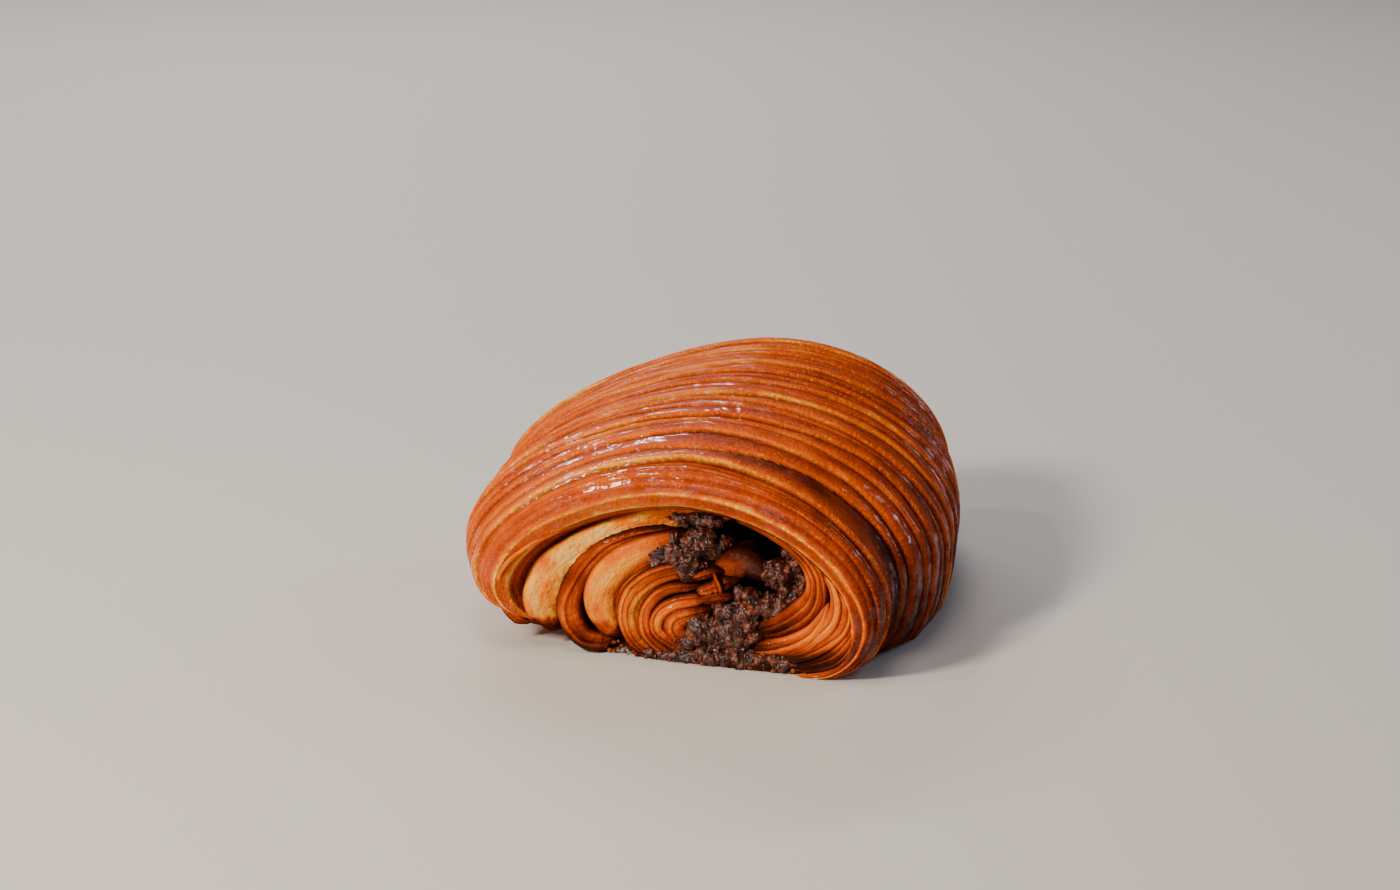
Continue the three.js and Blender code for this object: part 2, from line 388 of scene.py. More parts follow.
# pattern sizes in millimetres, how far each pattern moves the tone, and roughness without and with egg
crustFinish = {"threadMm": 0.5, "thread": 0.2, "grit": 0.42, "fleck": 0.34, "fleckMm": 0.6, "dull": 0.5,
               "gloss": 0.3}
innerFinish = {"threadMm": 0.35, "thread": 0.2, "grit": 0.34, "fleck": 0.12, "fleckMm": 0.5, "dull": 0.5,
               "gloss": 0.3}
crustMaterial = bakedDough("egg washed crust, brushed and baked", crustRamp, crustFinish)
innerMaterial = bakedDough("inner dough layers, baked in their butter", innerRamp, innerFinish)
print("dough materials")

# the crust, one skin of overlapping bands; lengths are millimetres
crust = {
    "columns": 250,
    "rowStep": (0.21, 0.46),     # millimetres between rows, near the front coil and behind it
    "fineUntil": 42,
    "wallDepth": 15,            # how far the throat inside the lip goes in
    "wallShrink": 0.2,
    "wallRows": 30,
    "footDrawBack": 7,          # how far the rim draws back under the foot
    "wander": 1.6,              # how far a band strays from its place round the roll
    "leftPull": 2.6,            # how far the front bands close up towards the lip on the left
    "threadLift": 0.12,
    "dimpleLift": 0.14,
    "creaseDepth": 0.25,
    # each band: place of its front edge along the roll's top, height, pale edge, bake tone at its front and
    # at its back
    "bands": [
        # the first two bands lie in the throat under the lip; their darker tone is painted shade
        (-12.0, 0.2, 0.0, 0.7, 0.76),
        (-8.8, 0.3, 0.15, 0.62, 0.72),
        (-7.5, 0.8, 1.0, 0.2, 0.5),
        (-6.0, 0.5, 0.9, 0.4, 0.54),
        (-4.3, 0.35, 0.12, 0.5, 0.54),
        (-2.7, 0.4, 0.55, 0.48, 0.54),
        (-0.8, 0.3, 0.1, 0.5, 0.55),
        (1.2, 0.35, 0.15, 0.52, 0.6),
        (3.2, 1.6, 1.0, 0.34, 0.82),
        (10.8, 0.9, 0.45, 0.42, 0.72),
        (15.0, 0.75, 0.3, 0.44, 0.66),
        (19.6, 0.6, 0.3, 0.44, 0.6),
        (23.4, 0.95, 0.7, 0.38, 0.68),
        (27.0, 0.6, 0.2, 0.48, 0.6),
        (30.0, 0.8, 0.45, 0.4, 0.66),
        (34.8, 1.15, 0.85, 0.36, 0.68),
        (38.6, 0.6, 0.2, 0.5, 0.6),
        (42.2, 0.95, 0.6, 0.4, 0.68),
        (46.0, 0.6, 0.25, 0.48, 0.6),
        (49.2, 1.0, 0.7, 0.38, 0.7),
        (53.0, 0.6, 0.2, 0.48, 0.6),
        (56.4, 1.05, 0.75, 0.36, 0.68),
        (60.4, 0.7, 0.3, 0.46, 0.62),
        (64.0, 0.9, 0.5, 0.4, 0.68),
        (67.4, 0.6, 0.25, 0.48, 0.6),
        (70.6, 0.9, 0.6, 0.4, 0.66),
        (74.4, 0.7, 0.3, 0.46, 0.64),
        (78.4, 1.1, 0.8, 0.36, 0.68),
        (83.6, 0.6, 0.4, 0.48, 0.6),
        (87.6, 0.5, 0.5, 0.44, 0.52),
        (90.2, 0.6, 0.9, 0.38, 0.56),
        (91.6, 0.3, 0.1, 0.62, 0.74),
    ],
}


def bandRelief(place, arc, leftness, seed=5):
    # place: mm along the top of the roll, arc: mm round the section. Every band starts in a crease with a
    # raised pale edge, swells, and slopes down under the next one
    bands = crust["bands"]
    shape = np.broadcast(place, arc).shape
    start, end = np.full(shape, -40.0), np.full(shape, -8.0)
    tall, nextTall, edge, number = (np.zeros(shape) for _ in range(4))
    toneFront, toneBack = np.full(shape, 0.55), np.full(shape, 0.55)
    last = np.full(shape, -9.0)
    fronts = []
    for i, band in enumerate(bands):
        stray = softNoise(arc / 42, i * 1.37, 0, seed) + 0.45 * softNoise(arc / 15, i * 3.1, 0, seed + 1)
        free = smoothStep(-8, 12, band[0]) * smoothStep(95, 80, band[0])
        pulled = crust["leftPull"] * leftness * smoothStep(-6, 3, band[0]) * smoothStep(34, 10, band[0])
        last = np.maximum(last + 0.5, band[0] - pulled + crust["wander"] * (0.25 + 0.75 * free) * stray)
        fronts.append(last)
    fronts.append(np.full(shape, 110.0))
    for i, band in enumerate(bands):
        reached = place >= fronts[i]
        start, end = np.where(reached, fronts[i], start), np.where(reached, fronts[i + 1], end)
        swell = 0.5 + 0.5 * softNoise(arc / 24, i * 3.7, 0, seed + 2)
        tall = np.where(reached, band[1] * (0.75 + 0.5 * swell), tall)
        nextTall = np.where(reached, bands[min(i + 1, len(bands) - 1)][1], nextTall)
        edge = np.where(reached, band[2] * np.clip(0.3 * band[2] ** 4 + 1.1 * swell, 0, 1) ** 1.6, edge)
        toneFront, toneBack = np.where(reached, band[3], toneFront), np.where(reached, band[4], toneBack)
        number = np.where(reached, i, number)
    into, left = place - start, np.maximum(end - place, 0)
    wide = np.minimum(end - start, 12)
    lip = 1 - np.exp(-into / 0.32)
    slope = 1 - np.exp(-left / (0.3 * wide + 0.15))
    heightMm = tall * lip * slope * np.clip(wide / 3.2, 0.15, 1)
    narrow = np.clip(wide / 2.2, 0.2, 1)
    # low bands hardly part, so their creases stay shallow and their painted shade stays light; the wider dark
    # before the next band is painted shadow under its raised edge
    crease = np.exp(-(into / 0.22) ** 2) * narrow * np.clip(0.05 + 0.95 * tall, 0, 1)
    crease = crease + 0.9 * np.exp(-(left / 0.5) ** 2) * narrow * np.clip(0.05 + 0.95 * nextTall, 0, 1)
    ragged = 0.45 * layeredNoise(arc / 2.4, number * 7.3, 0, seed + 4, 3)
    # behind the first band the pale line comes and goes
    broken = 0.5 + 0.5 * layeredNoise(arc / 9, number * 2.9, 0, seed + 5, 3)
    edge = edge * np.where(number > 8, 0.35 + 0.9 * smoothStep(0.3, 0.7, broken), 1)
    lineWidth = 0.2 + 0.7 * edge
    pale = edge * smoothStep(0.08, 0.3, into) * (1 - smoothStep(0.45, 1.35, (into + ragged) / lineWidth))
    f = np.clip(into / np.maximum(wide, 0.5), 0, 1)
    tone = toneFront + (toneBack - toneFront) * f ** 0.8
    return heightMm, np.clip(pale, 0, 1), np.clip(crease, 0, 1), f, tone, wide


def crustGrid():
    quarter, arc, around = evenQuarters(crust["columns"])
    rimRun, wall = roll["rimRun"], crust["wallDepth"]
    fine, coarse = crust["rowStep"]
    end = roll["length"] + rimRun
    places = np.concatenate([np.arange(-rimRun, crust["fineUntil"], fine),
                             np.arange(crust["fineUntil"], end, coarse), [end]])
    wallSteps = np.linspace(0, 1, crust["wallRows"] + 1)[1:] ** 1.6
    rows = []
    for w in wallSteps[::-1]:
        rows.append((-rimRun - wall * w, 0.0, 1.0, w, -1))
    for place in places:
        t = np.clip(place / roll["length"], 0, 1)
        rolled = np.clip(max(-place, place - roll["length"]) / rimRun, 0, 1)
        rows.append((place, t, rolled, 0.0, -1 if place < roll["length"] / 2 else 1))
    for w in wallSteps:
        rows.append((roll["length"] + rimRun + wall * w, 1.0, 1.0, w, 1))
    place, t, rolled, inside, side = (np.array(column)[:, None] for column in zip(*rows))
    x, z = outline(t + 0 * quarter[None], quarter[None] + 0 * t)
    x, z = rolledIn(x, z, rolled)
    shrink = 1 - crust["wallShrink"] * np.sqrt(inside)
    x, z = x * shrink, z * shrink
    # under the foot the rim draws back, so the wraps show down to the base
    quarterHere = quarter[None] + 0 * t
    underWraps = smoothStep(3.22, 3.6, quarterHere) * (1 - smoothStep(4.86, 5.0, quarterHere))
    drawnBack = crust["footDrawBack"] * underWraps * smoothStep(0.12, 0.0, np.minimum(t, 1 - t))
    drawnBack = drawnBack * np.where(side > 0, 0.25, 1)
    push = side * (roll["rimBulge"] * np.sin(rolled * np.pi / 2) - wall * inside - drawnBack)
    points = alongRoll(x, z, t, push)
    return points, place, t, quarter[None], arc[None], around, inside


def makeCrust():
    points, place, t, quarter, arc, around, inside = crustGrid()
    normal = gridNormals(points)
    arcHere = arc + 0 * place
    placeHere = place + 0 * arc
    leftness = smoothStep(2.0, 2.9, quarter) * smoothStep(4.0, 3.5, quarter) + 0 * place
    heightMm, pale, crease, f, tone, wide = bandRelief(placeHere, arcHere, leftness)
    onFoot = smoothStep(3.9, 4.05, quarter) * (1 - smoothStep(4.9, 5.0, quarter))
    smooth = smoothStep(4, 7, wide) * smoothStep(20, 12, placeHere)
    threads = layeredNoise(arcHere / 16, placeHere / 1.1, 0, 31, 3) * (1 - 0.7 * smooth)
    dimples = layeredNoise(points[..., 0] / 4, points[..., 1] / 4, points[..., 2] / 4, 47, 3)
    skinLift = heightMm + crust["threadLift"] * threads + crust["dimpleLift"] * dimples
    skinLift = skinLift - crust["creaseDepth"] * crease
    skinLift = skinLift * (1 - onFoot) + onFoot * (0.1 * dimples - 0.2)
    skinLift = skinLift * (1 - 0.7 * inside)
    points = points + normal * skinLift[..., None]
    points[..., 2] = np.maximum(points[..., 2], 0)
    rows, columns = points.shape[:2]
    # the bake colour: red is how far it is baked, with painted shade added on the right, low on the right and
    # in the throat; green the egg wash, blue the painted shade in creases and the throat, alpha the speckle
    swirl = layeredNoise(arcHere / 20, placeHere / 9, 0, 61, 3)
    # the right side, and most of all its low part, is toned darker: painted shade
    shadedRight = smoothStep(-20, 42, points[..., 0])
    shadedLowRight = smoothStep(18, 42, points[..., 0]) * smoothStep(30, 8, points[..., 2])
    done = tone + 0.01 + 0.14 * shadedRight + 0.2 * shadedLowRight + 0.16 * swirl + 0.1 * threads - 0.4 * pale
    strokes = layeredNoise(arcHere / 14, placeHere / 4, 0, 71, 2)
    wash = 0.3 + 0.55 * smoothStep(0.04, 0.5, f) + 0.15 * smoothStep(3, 5, wide) + 0.4 * strokes
    onRim = smoothStep(3.6, 1.5, placeHere)
    wash = np.clip(wash + 0.6 * onRim, 0, 1) * (1 - pale) * (1 - inside) * (1 - 0.8 * onFoot)
    speckle = np.clip(0.9 - 1.1 * f + 0.5 * swirl + 0.5 * pale, 0.1, 1)
    # the foot browns most towards its two ends, where it meets the undersides of the wraps
    nearEnd = smoothStep(0.24, 0.06, np.minimum(t, 1 - t) + 0.05 * dimples)
    done = done * (1 - onFoot) + onFoot * (0.74 + 0.2 * dimples + 0.24 * nearEnd)
    # deeper in the throat the dough is toned darker and darkened: painted shade
    done = done * (1 - inside) + inside * (0.45 + 0.25 * inside)
    paintedShade = np.clip(crease * 0.9 * (1 - inside) + smoothStep(0.14, 0.5, inside), 0, 1)
    bake = np.stack([done, wash, paintedShade, speckle], -1).reshape(-1, 4)
    faces = gridFaces(rows, columns)
    # one point closes the throat at each end
    points = points.reshape(-1, 3)
    front, back = points[:columns].mean(0), points[-columns:].mean(0)
    points = np.vstack([points, front, back])
    bake = np.vstack([bake, bake[:columns].mean(0), bake[-columns:].mean(0)])
    c = np.arange(columns)
    d = (c + 1) % columns
    frontCap = np.stack([np.full(columns, len(points) - 2), c, d], -1)
    base = (rows - 1) * columns
    backCap = np.stack([np.full(columns, len(points) - 1), base + d, base + c], -1)
    uv = np.stack(np.broadcast_arrays(arc / 100, placeHere / 100), -1).reshape(-1, 2)
    uv = np.vstack([uv, uv[:1], uv[-1:]])
    faceList = faces.tolist() + frontCap.tolist() + backCap.tolist()
    piece = newMesh("crust", points, faceList, bake, uv, crustMaterial)
    fixWrap(piece, around)
    return piece


def fixWrap(piece, around):
    # on the map, the last column's faces end one turn on, not back at the start
    mesh = piece.data
    layer = mesh.uv_layers["grain"].data
    for polygon in mesh.polygons:
        if len(polygon.vertices) == 4:
            loops = list(polygon.loop_indices)
            values = [layer[i].uv[0] for i in loops]
            if max(values) - min(values) > around / 200:
                for i, value in zip(loops, values):
                    if value < around / 200:
                        layer[i].uv[0] = value + around / 100


crustPiece = makeCrust()
print("crust", len(crustPiece.data.polygons), "faces")

# wraps of the coil: one set makes both ends, the back one through atBack; lengths are millimetres
wraps = {
    "backDepth": 13,
    "backTaper": 0.84,
    "backLift": 2.2,            # keeps the buried backs above the crust's foot
    "across": 44,               # points across a wrap's face
    "acrossBack": 6,
    "overlap": 1.14,
    "flat": 3.2,
    "lowest": 0.15,
    "round": 0.42,              # these three hold for a wrap that doesn't give its own
    "mottle": 0.16,
    "toasted": 0.06,
    # name: points (x, z, width, depth of the crest), bake tone, egg wash, lean towards the coil's middle,
    # thin layers across it, bubbles
    "lipLayer": {"points": [(-33.2, 3.2, 2.2, 2.6), (-36.4, 6.6, 3.2, 2), (-37.8, 11, 3.6, 1.6),
                            (-36.2, 15.6, 3.8, 1.6), (-31.6, 20.8, 3.4, 1.8), (-25.6, 25.2, 3, 2.2),
                            (-17, 28.8, 2.8, 2.8), (-8, 31, 2.6, 3.4), (2, 31.8, 2.4, 4), (9, 31, 2, 4.6)],
                 "tone": 0.52, "wash": 0.3, "lean": 0.3, "layers": 3, "bubble": 0.08},
    "lipShadow": {"points": [(-30.8, 3, 2, 3.4), (-33.6, 6.4, 2.4, 3), (-34.6, 11, 2.6, 2.6),
                             (-33, 15.8, 2.6, 2.6), (-29, 20.4, 2.4, 2.8), (-23.4, 24.4, 2.2, 3.2),
                             (-15.4, 27.6, 2, 3.8), (-7, 29.8, 1.8, 4.4)],
                  "tone": 0.6, "wash": 0.3, "lean": 0.2, "layers": 2, "bubble": 0.08},
    "lipFlap": {"points": [(-37.2, 10.4, 0.4, -0.2), (-37.8, 13.4, 0.7, -1.8), (-36.9, 16.4, 0.9, -2.6),
                           (-34.6, 19.3, 1, -2.7), (-30.8, 22.2, 0.9, -2.3), (-25.8, 25, 0.7, -1.4),
                           (-20.4, 27.4, 0.4, -0.2)],
                "tone": 0.3, "wash": 0.3, "lean": 0.3, "layers": 0, "bubble": 0.3},
    "paleWrap": {"points": [(-25.4, 3.4, 2, 1.8), (-27.4, 4.6, 3.6, 0.9), (-28.6, 7, 5.6, -0.4),
                            (-29.3, 9.6, 7.2, -1.1), (-28.6, 12.4, 7.6, -1.2), (-26.2, 17, 7.2, -0.9),
                            (-22.3, 20.5, 6.4, -0.2), (-17.6, 23.4, 5.8, 0.8), (-10.4, 26.5, 5.4, 2),
                            (-2.6, 28.9, 5, 3), (5.5, 30.2, 3.6, 3.6), (10, 29.4, 2.6, 4.2)],
                 "tone": 0.16, "wash": 0.15, "lean": 0.25, "layers": 0, "bubble": 0.4,
                 "mottle": 0.36, "toasted": 0.62},
    "curlWrap": {"points": [(-14.8, 2, 2.6, 0.2), (-17.4, 1.9, 3.6, -0.8), (-20.6, 2.9, 4, -1.4),
                            (-23, 6, 4.4, -1.5), (-23.7, 10, 4.6, -1.2), (-22, 15.5, 4.8, -0.6),
                            (-18.9, 19.8, 4.6, 0), (-14.2, 22.7, 4.2, 0.6), (-8.6, 24.9, 3.2, 1.3),
                            (-2.6, 26.2, 2.4, 2.4)],
                 "tone": 0.62, "wash": 0.35, "lean": 0.3, "layers": 2, "bubble": 0.2, "round": 0.6},
    "smoothWrap": {"points": [(-13.2, 3.2, 2.4, 0.3), (-14.8, 4.8, 3.6, -0.7), (-16.4, 7.4, 5, -1.2),
                              (-17.2, 10.4, 6.2, -1.6), (-16.9, 13.6, 6.2, -1.7), (-15.2, 16.6, 6.2, -1.6),
                              (-11.9, 19.8, 6, -1.2), (-8, 22, 5.4, -0.4), (-3.6, 23.8, 4, 0.8),
                              (0, 24.8, 2.4, 2.4)],
                   "tone": 0.25, "wash": 0.5, "lean": 0.15, "layers": 0, "bubble": 0.1, "round": 0.45,
                   "mottle": 0.22, "toasted": 0.5},
    "laminatedWrap": {"points": [(-12.6, 3.4, 1.6, 1), (-13.6, 7, 2.8, 0.2), (-13.7, 11, 3.2, 0),
                                 (-11.8, 15.2, 3.6, 0), (-7.6, 18.6, 3.8, 0.2), (-3.2, 20.6, 3.4, 0.8),
                                 (0.5, 21.6, 2.4, 1.8)],
                      "tone": 0.6, "wash": 0.4, "lean": 0.4, "layers": 5, "bubble": 0.05},
    "fourthWrap": {"points": [(-2, 0.6, 1.2, 0.6), (-6.4, 1.2, 2.4, -0.4), (-9.4, 3.4, 3.6, -1),
                              (-10.8, 6.8, 4.2, -1.4), (-10.8, 10.2, 4.4, -1.5), (-9.2, 13.6, 4.6, -1.5),
                              (-5.9, 16.4, 4.6, -1.3), (-1.6, 18.2, 4.4, -0.6), (2.9, 19.1, 3, 0.4)],
                   "tone": 0.45, "wash": 0.4, "lean": 0.35, "layers": 4, "bubble": 0.1},
    "thinRing": {"points": [(6, 0.9, 0.8, 0), (1, 0.8, 1.2, -0.9), (-2.6, 1.4, 1.6, -1.4),
                            (-5.3, 2.9, 2, -1.5), (-7.2, 5.4, 2.2, -1.8), (-7.7, 8.4, 2.1, -1.9),
                            (-6.9, 11.2, 2.1, -1.9), (-4.6, 13.8, 2.2, -1.8), (-1.4, 15.4, 2.2, -1.5),
                            (3.4, 15.8, 1.6, -0.6)],
                 "tone": 0.42, "wash": 0.45, "lean": 0.1, "layers": 2, "bubble": 0.08},
    "coreRing": {"points": [(9, 1.9, 1, 0.2), (4, 1.8, 1.6, -0.8), (0, 2.4, 2.2, -1.3),
                            (-3.1, 3.9, 2.7, -1.5), (-5.2, 5.9, 2.9, -1.7), (-5.3, 8.1, 2.9, -1.8),
                            (-4.1, 10.3, 2.9, -1.8), (-1.7, 12, 2.9, -1.6), (1.4, 13, 2.8, -1.3),
                            (5.2, 13.6, 2.2, -0.6)],
                 "tone": 0.48, "wash": 0.6, "lean": -0.2, "layers": 2, "bubble": 0.12},
    "rightLoop": {"points": [(8.6, 29.4, 0.9, 3.4), (12, 29, 1.2, 2.8), (17.6, 27.2, 1.6, 2),
                             (23.4, 24.2, 2.4, 1.2), (26.6, 20.9, 3.6, 0.6), (27.4, 17.6, 4.4, 0.2),
                             (26.8, 14.4, 5.8, -0.2), (25, 12, 6.4, -0.5), (22.4, 9.9, 6.4, -0.6),
                             (19.2, 8.2, 5.6, -0.6), (14.8, 6.9, 4, 0)],
                  "tone": 0.54, "wash": 0.45, "lean": -0.35, "layers": 4, "bubble": 0.1},
    "paleWedge": {"points": [(29.6, 15.4, 1.2, 0.2), (29.2, 12.4, 2.6, -0.5), (27.1, 9.2, 3.2, -0.8),
                             (24.4, 7.1, 3.4, -0.9), (21.6, 5.7, 3.6, -0.9), (18, 4.6, 3.4, -0.8),
                             (13.4, 3.6, 2.4, -0.4)],
                  "tone": 0.38, "wash": 0.3, "lean": 0.2, "layers": 2, "bubble": 0.12},
    "rightSheet": {"points": [(28.2, 21.4, 1.2, 0.8), (30.6, 18.4, 1.8, 0), (31.6, 15, 2.4, -0.7),
                              (31, 11.7, 2.6, -1.1), (28.3, 8.4, 2.4, -1.3), (25.2, 5.6, 1.9, -1.3),
                              (20.7, 3.7, 1.5, -1), (16, 2.8, 1, -0.5)],
                   "tone": 0.42, "wash": 0.4, "lean": 0.3, "layers": 2, "bubble": 0.06},
    "outerSheet": {"points": [(30.2, 20.9, 1.4, 0.6), (32.6, 18, 2.1, -0.1), (34, 14.4, 2.6, -0.8),
                              (33.3, 10.8, 2.7, -1.2), (30.6, 7.6, 2.5, -1.5), (26.6, 4.7, 2.1, -1.6),
                              (22.4, 2.9, 1.8, -1.3), (17, 1.6, 1.2, -0.7)],
                   "tone": 0.46, "wash": 0.4, "lean": 0.3, "layers": 2, "bubble": 0.06},
    "lastSheet": {"points": [(33.6, 18.4, 1.2, -0.4), (35.8, 14, 1.8, -1.2), (35.7, 10.1, 2.4, -1.6),
                             (34, 6.9, 3.4, -1.9), (31.4, 4.3, 3.6, -2), (28, 2.6, 2.8, -1.9),
                             (23.5, 1.4, 1.8, -1.3), (17, 0.8, 1.2, -0.8)],
                  "tone": 0.5, "wash": 0.35, "lean": 0.3, "layers": 3, "bubble": 0.06},
    "bottomSheet": {"points": [(-13, 2.2, 1.6, 0.6), (-8.6, 1.1, 2, -0.8), (-2, 0.8, 2, -1.5),
                               (6, 0.7, 1.8, -1.7), (14, 0.7, 1.8, -1.7), (22, 1, 1.8, -1.4),
                               (28, 1.2, 1.4, -0.6)],
                    "tone": 0.66, "wash": 0.3, "lean": 0, "layers": 2, "bubble": 0.5},
    "innerCore": {"points": [(1.8, 3.6, 3, -0.4), (-0.9, 5.2, 4.2, -1.2), (-1.8, 7.2, 4.8, -1.6),
                             (-0.8, 9.2, 4.6, -1.5), (2.4, 10.4, 3.8, -0.8), (6.4, 11.2, 2.4, 0.6)],
                  "tone": 0.62, "wash": 0.6, "lean": 0, "layers": 2, "bubble": 0.3},
    "dome": {"points": [(5.4, 14.6, 3, 3), (7.2, 17.8, 5, 2), (9.8, 20.2, 6, 1.7), (12.8, 20.4, 5.8, 2),
                        (15.4, 18.4, 4.4, 2.8), (16.4, 15.6, 2.4, 4)],
             "tone": 0.78, "wash": 0.8, "lean": 0, "layers": 0, "bubble": 0.1, "round": 0.5},
    "tornLayer": {"points": [(-0.6, 15.8, 0.8, 0.8), (3, 17.6, 1.8, 0), (6, 18.8, 2.2, 0.2),
                             (8.8, 18.6, 0.8, 1.6)],
                  "tone": 0.66, "wash": 0.6, "lean": 0.9, "layers": 2, "bubble": 0.6},
    "tornFlap": {"points": [(5.2, 19.4, 0.6, 1), (6.8, 17.8, 1.6, -0.8), (7.6, 15.8, 2, -1.2),
                            (7, 13.8, 0.8, 0.4)],
                 "tone": 0.6, "wash": 0.6, "lean": 1.2, "layers": 2, "bubble": 0.6},
    "tornCurl": {"points": [(1.6, 14.6, 0.8, 0.2), (4.8, 15.6, 2, -0.7), (8.2, 16.8, 2.2, -0.4),
                            (11.4, 17.4, 0.8, 1.4)],
                 "tone": 0.7, "wash": 0.6, "lean": -0.9, "layers": 2, "bubble": 0.6},
    "tornTip": {"points": [(1.6, 12.8, 1, 0), (4.8, 13.4, 2.4, -0.9), (8.4, 14.4, 2.6, -0.8),
                           (11.6, 14.2, 1, 0.8)],
                "tone": 0.6, "wash": 0.7, "lean": 0.8, "layers": 3, "bubble": 0.5},
}


def layerRelief(count, s, vv, wide, seed):
    # thin layers side by side across a wrap: each rises from a crease and slopes down to the next one
    place = (vv + 1) / 2 * count + 0.4 * softNoise(s / 11, vv * 1.2, 0, seed) * (1 - vv ** 2)
    number = np.clip(np.floor(place), 0, count - 1)
    f = np.clip(place - number, 0, 1)
    layerMm = wide / count
    fromCrease = np.minimum(f, 1 - f) * layerMm
    rise = (1 - np.exp(-f * layerMm / 0.2)) * (1 - 0.8 * f ** 2)
    crease = np.exp(-(fromCrease / 0.16) ** 2)
    shade = softNoise(s / 14, number * 5.3, 0, seed + 3)
    return rise, crease, f, shade, layerMm


def makeWrap(name, spec, place, seed):
    # a closed rounded slab swept along its path; its crest faces out of the coil, its back is buried
    along, run = throughPoints(spec["points"], max(60, int(len(spec["points"]) * 17)))
    length = run[-1]
    acrossCount, backCount = wraps["across"], wraps["acrossBack"]
    centre = along[:, :2]
    tangent = np.gradient(centre, axis=0)
    tangent /= np.linalg.norm(tangent, axis=1, keepdims=True)
    side = np.stack([-tangent[:, 1], tangent[:, 0]], 1)          # left of the path, outwards from the coil
    endFade = np.sqrt(np.clip(np.minimum(run, length - run) / 2.2, 0, 1))
    width = along[:, 2] * wraps["overlap"] * np.maximum(endFade, 0.04)
    v = -np.cos(np.linspace(0, np.pi, acrossCount)) * 0.5 + np.linspace(-1, 1, acrossCount) * 0.5
    wide = along[:, 2:3]
    rise = np.clip(spec.get("round", wraps["round"]) * wide, 0.7, 2.8)
    dome = (1 - np.abs(v[None]) ** wraps["flat"]) ** (1 / 2.2)
    depth = along[:, 3:4] + rise * (1 - dome) - spec["lean"] * v[None] * wide * 0.5
    depth = depth + (1 - endFade[:, None]) * 2.5
    s, vv = run[:, None] + 0 * v[None], v[None] + 0 * run[:, None]
    if spec["layers"]:
        step, crease, f, shade, layerMm = layerRelief(spec["layers"], s, vv, wide, seed)
    else:
        step, crease, f, shade, layerMm = (value + 0 * vv for value in (0.5, 0, 0.3, 0, 1))
    depth = depth - np.clip(0.3 * layerMm, 0.12, 0.5) * step * (1 - vv ** 4)
    depth = depth - 0.16 * layeredNoise(s / 3.2, vv * 2.2, 0, seed + 2, 3)
    depth = depth - spec["bubble"] * np.abs(layeredNoise(s / 1.1, vv * wide / 2.2, 0, seed + 4, 2))
    sway = 0.12 * layeredNoise(s / 5, vv, 0, seed + 6, 2)
    half = width[:, None] / 2
    x = centre[:, :1] + side[:, :1] * (vv * half + sway)
    z = centre[:, 1:] + side[:, 1:] * (vv * half + sway)
    front = np.stack([x, depth, z], -1)
    backV = np.linspace(1, -1, backCount)[None] * 0.9 + 0 * run[:, None]
    # the buried back draws in towards the roll's middle, so it stays under the crust
    bx = (centre[:, :1] + side[:, :1] * backV * half) * wraps["backTaper"]
    bz = (centre[:, 1:] + side[:, 1:] * backV * half) * 0.94 + 1
    behind = np.stack([bx, wraps["backDepth"] + 0 * backV, np.maximum(bz, wraps["backLift"])], -1)
    points = np.concatenate([front, behind], 1)
    points[..., 2] = np.maximum(points[..., 2], wraps["lowest"])
    rows, columns = points.shape[:2]
    mottle = spec.get("mottle", wraps["mottle"])
    tone = spec["tone"] + mottle * layeredNoise(s / 4, vv * 1.6, 0, seed + 8, 4)
    if spec["layers"]:
        tone = tone + 0.16 * shade + 0.14 * (f - 0.5) - 0.12 * np.exp(-((f - 0.22) / 0.14) ** 2)
    # darker towards the bottom; darker at the wrap's two edges, partly browning and partly painted shade
    # where wraps tuck under each other; darker towards the right, painted shade
    tone = tone + 0.3 * smoothStep(9, 1, z) + 0.26 * np.abs(vv) ** 3 + 0.1 * smoothStep(-12, 30, x)
    # the undersides toast against the tray
    ragged = z + 2 * layeredNoise(s / 2.4, vv * 2, 0, seed + 11, 3)
    tone = tone + spec.get("toasted", wraps["toasted"]) * smoothStep(7.5, 4, ragged)
    tone = tone + 0.3 * smoothStep(0.5, 1, s / length)
    wash = spec["wash"] * (0.7 + 0.5 * layeredNoise(s / 4, vv, 0, seed + 9, 2))
    # painted shade in the gaps at the wrap's edges and in the creases between its layers
    paintedShade = np.maximum(smoothStep(0.76, 1.0, np.abs(vv)) * 0.8, 0.6 * crease * (layerMm > 0.3))
    bakeFront = np.stack([tone, wash, paintedShade, np.ones_like(tone)], -1)
    # the buried back carries a quarter of the painted crease shade
    bakeBack = np.zeros((rows, backCount, 4)) + (0.7, 0.2, 0.25, 0.5)
    bake = np.concatenate([bakeFront, bakeBack], 1).reshape(-1, 4)
    u = np.concatenate([s, s[:, :1] + 0 * backV], 1) / 100
    w = np.concatenate([vv * half, backV * half], 1) / 100
    points = place(points.reshape(-1, 3))
    faces = gridFaces(rows, columns).tolist()
    faces.append(list(range(columns)))
    faces.append(list(range((rows - 1) * columns, rows * columns)))
    uv = np.stack([u.ravel(), w.ravel()], -1)
    return outwards(newMesh(name, points, faces, bake, uv, innerMaterial))


def atFront(points):
    # wraps follow the bow of the front rim
    placed = points.copy()
    placed[:, 1] += roll["frontBow"] * (placed[:, 0] / roll["fanWidth"]) ** 2
    return placed


def makeCoil(place, ending, seed):
    specs = [(name, spec) for name, spec in wraps.items() if isinstance(spec, dict)]
    return [makeWrap(f"{name}_{ending}", spec, place, seed + 20 * number)
            for number, (name, spec) in enumerate(specs)]


